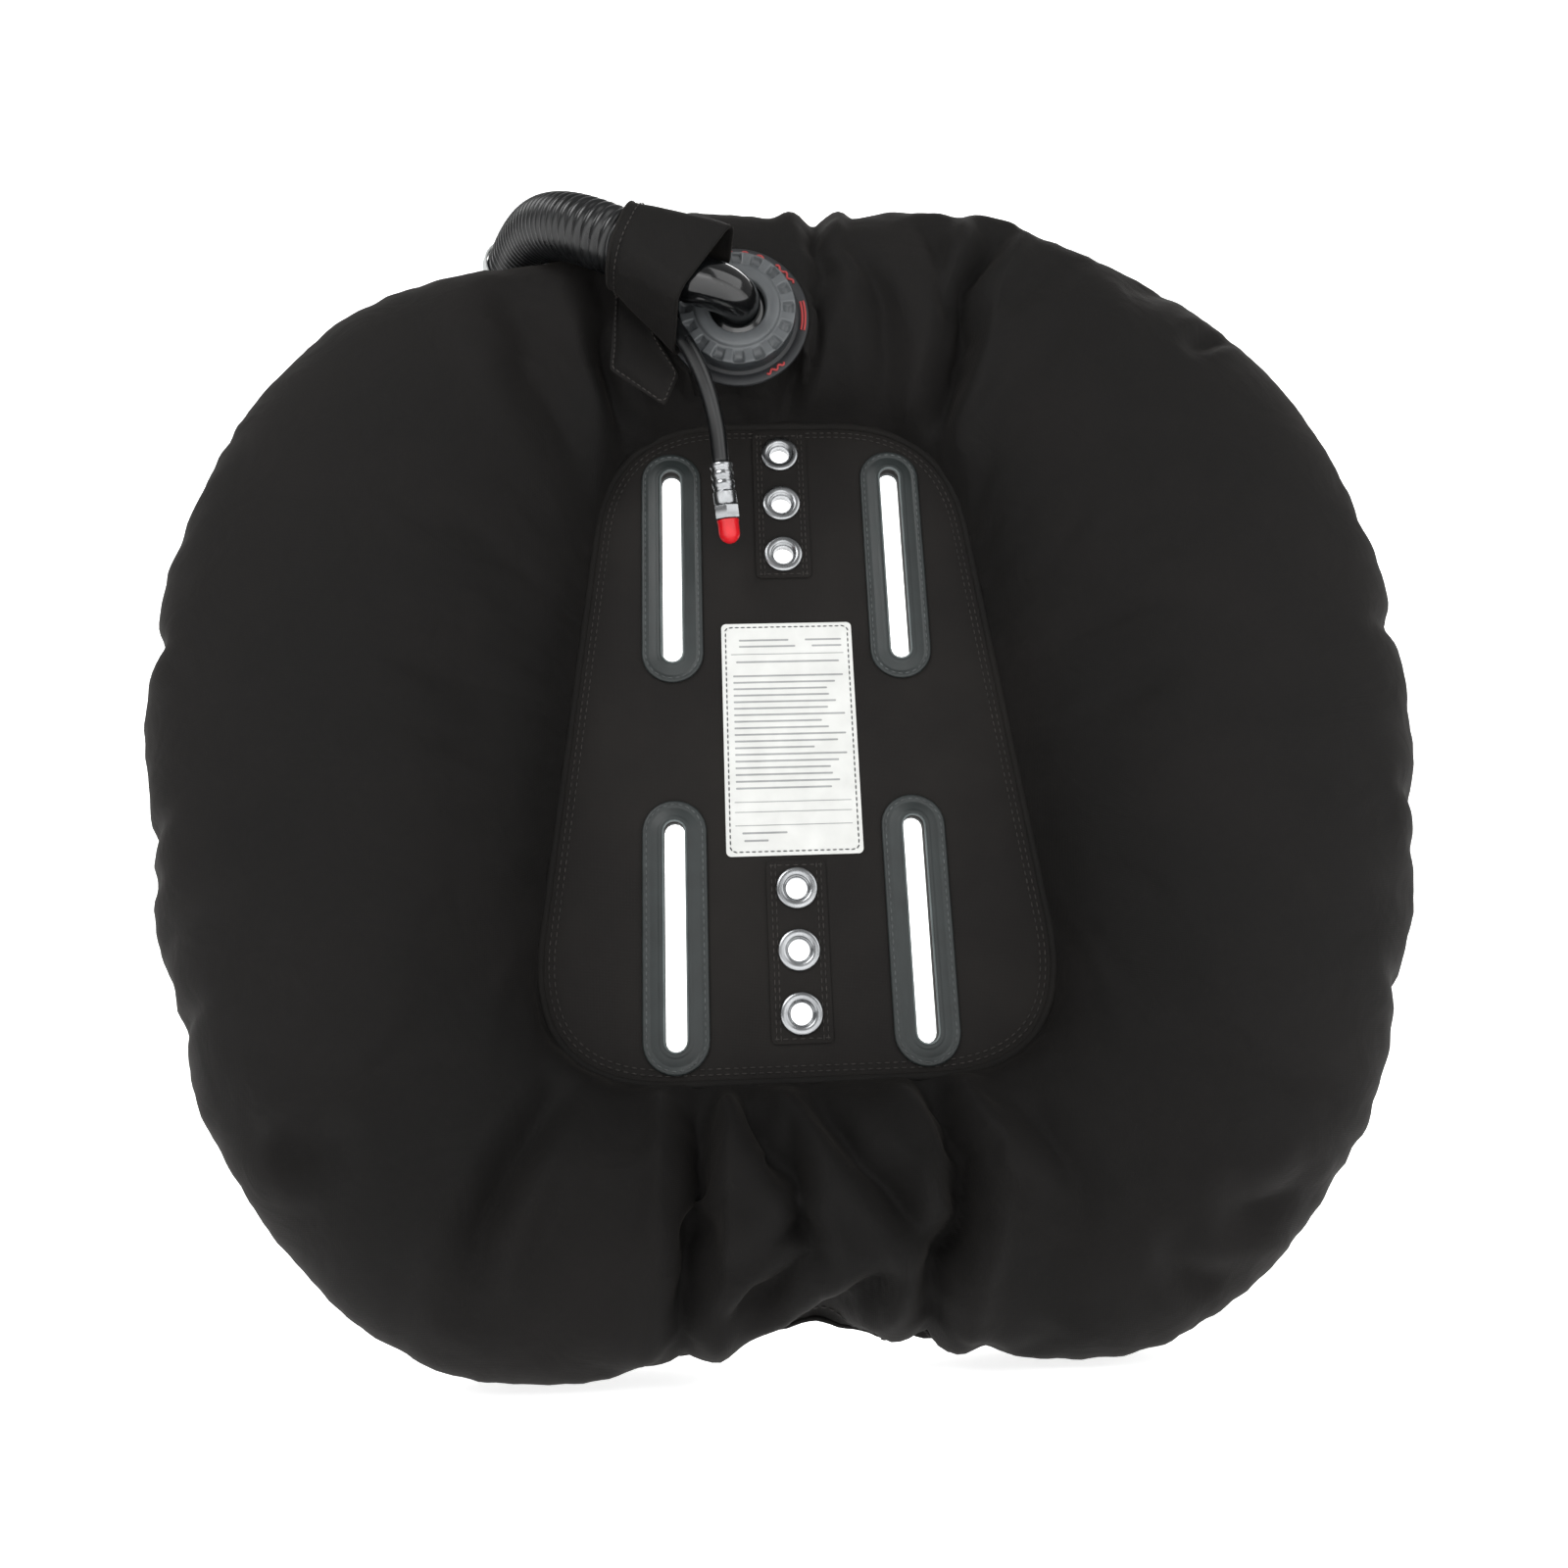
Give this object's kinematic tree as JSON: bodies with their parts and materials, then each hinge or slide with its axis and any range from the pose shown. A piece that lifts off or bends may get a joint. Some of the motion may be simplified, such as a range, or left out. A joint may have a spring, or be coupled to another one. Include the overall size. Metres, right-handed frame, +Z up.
{
  "type": "buoyancy compensator vest",
  "caption": "Donut-shaped buoyancy compensator wing with a bolted centre panel, inflation port, corrugated hose, power inflator and dump valve.",
  "frame": {"origin": "middle of the bolt pattern, on the tank side of the centre panel", "axes": "+Z up as it is worn, +X to the diver's right, +Y towards the diver's back, -Y towards the tanks"},
  "size_m": [0.7182, 0.2657, 0.6875],
  "materials": {
    "nylon": "woven",
    "panel_nylon": "woven",
    "urethane": "satin",
    "patch_rubber": "matte",
    "label_film": "matte",
    "steel": "polished",
    "black_plastic": "gloss",
    "grey_plastic": "matte",
    "flange_plastic": "matte",
    "black_rubber": "satin",
    "red_plastic": "satin"
  },
  "bodies": {
    "wing": {"tank_side_cover": "nylon", "diver_side_cover": "nylon", "inner_bladder": "urethane", "centre_panel": "panel_nylon", "upper_grommet_strip": "panel_nylon", "lower_grommet_strip": "panel_nylon", "slot_patch_tank_upper_left": "patch_rubber", "slot_patch_tank_lower_left": "patch_rubber", "slot_patch_tank_upper_right": "patch_rubber", "slot_patch_tank_lower_right": "patch_rubber", "slot_patch_diver_upper_left": "patch_rubber", "slot_patch_diver_lower_left": "patch_rubber", "slot_patch_diver_upper_right": "patch_rubber", "slot_patch_diver_lower_right": "patch_rubber", "label": "label_film", "grommet_upper_top": "steel", "grommet_upper_middle": "steel", "grommet_upper_bottom": "steel", "grommet_lower_top": "steel", "grommet_lower_middle": "steel", "grommet_lower_bottom": "steel", "grommet_washer_upper_top": "steel", "grommet_washer_upper_middle": "steel", "grommet_washer_upper_bottom": "steel", "grommet_washer_lower_top": "steel", "grommet_washer_lower_middle": "steel", "grommet_washer_lower_bottom": "steel", "port_flange": "flange_plastic", "port_gasket": "black_rubber", "dump_valve_flange": "flange_plastic", "dump_valve_spring": "steel", "dump_valve_cap": "black_plastic"},
    "lock_ring": {"lock_ring": "grey_plastic"},
    "hose_assembly": {"elbow": "black_plastic", "corrugated_hose": "black_rubber", "lp_hose": "black_rubber", "hose_sleeve": "nylon", "sleeve_flap": "nylon", "lp_ferrule": "steel", "lp_threaded_fitting": "steel", "hose_keeper": "grey_plastic", "hose_clamp": "steel", "inflator_body": "black_plastic", "mouthpiece": "black_rubber", "inflator_nipple": "steel", "qd_body": "steel", "inflate_spring": "steel", "vent_spring": "steel"},
    "dust_cap": {"dust_cap": "red_plastic"},
    "inflate_button": {"inflate_button": "grey_plastic"},
    "vent_button": {"vent_button": "red_plastic"},
    "qd_collar": {"qd_collar": "black_plastic"},
    "dump_valve_disc": {"dump_valve_disc": "black_rubber"}
  },
  "joints": [
    {"name": "elbow_swivel", "type": "hinge", "parent": "wing", "child": "hose_assembly", "pos_m": [-0.025, -0.058, 0.233], "axis": [0, 0.9848, 0.1736], "range_deg": [0, 20]},
    {"name": "lock_ring_turn", "type": "hinge", "parent": "wing", "child": "lock_ring", "pos_m": [-0.025, -0.058, 0.233], "axis": [0, 0.9848, 0.1736], "continuous": true},
    {"name": "inflate_press", "type": "slide", "parent": "hose_assembly", "child": "inflate_button", "axis": [0, -1, 0], "range_m": [0, 0.003], "stiffness_N_per_m": 800, "springref_m": -0.002, "deforming": ["inflate_spring"]},
    {"name": "vent_press", "type": "slide", "parent": "hose_assembly", "child": "vent_button", "axis": [0, 0, 1], "range_m": [0, 0.004], "stiffness_N_per_m": 600, "springref_m": -0.002, "deforming": ["vent_spring"]},
    {"name": "qd_collar_slide", "type": "slide", "parent": "hose_assembly", "child": "qd_collar", "axis": [0, 0, 1], "range_m": [0, 0.004], "stiffness_N_per_m": 800, "springref_m": -0.002},
    {"name": "dump_valve_lift", "type": "slide", "parent": "wing", "child": "dump_valve_disc", "axis": [0, 1, 0], "range_m": [0, 0.004], "stiffness_N_per_m": 500, "springref_m": -0.003, "deforming": ["dump_valve_spring"]},
    {"name": "dust_cap_pull", "type": "slide", "parent": "hose_assembly", "child": "dust_cap", "axis": [0.0993, 0.3657, -0.9254], "range_m": [0, 0.015]}
  ]
}
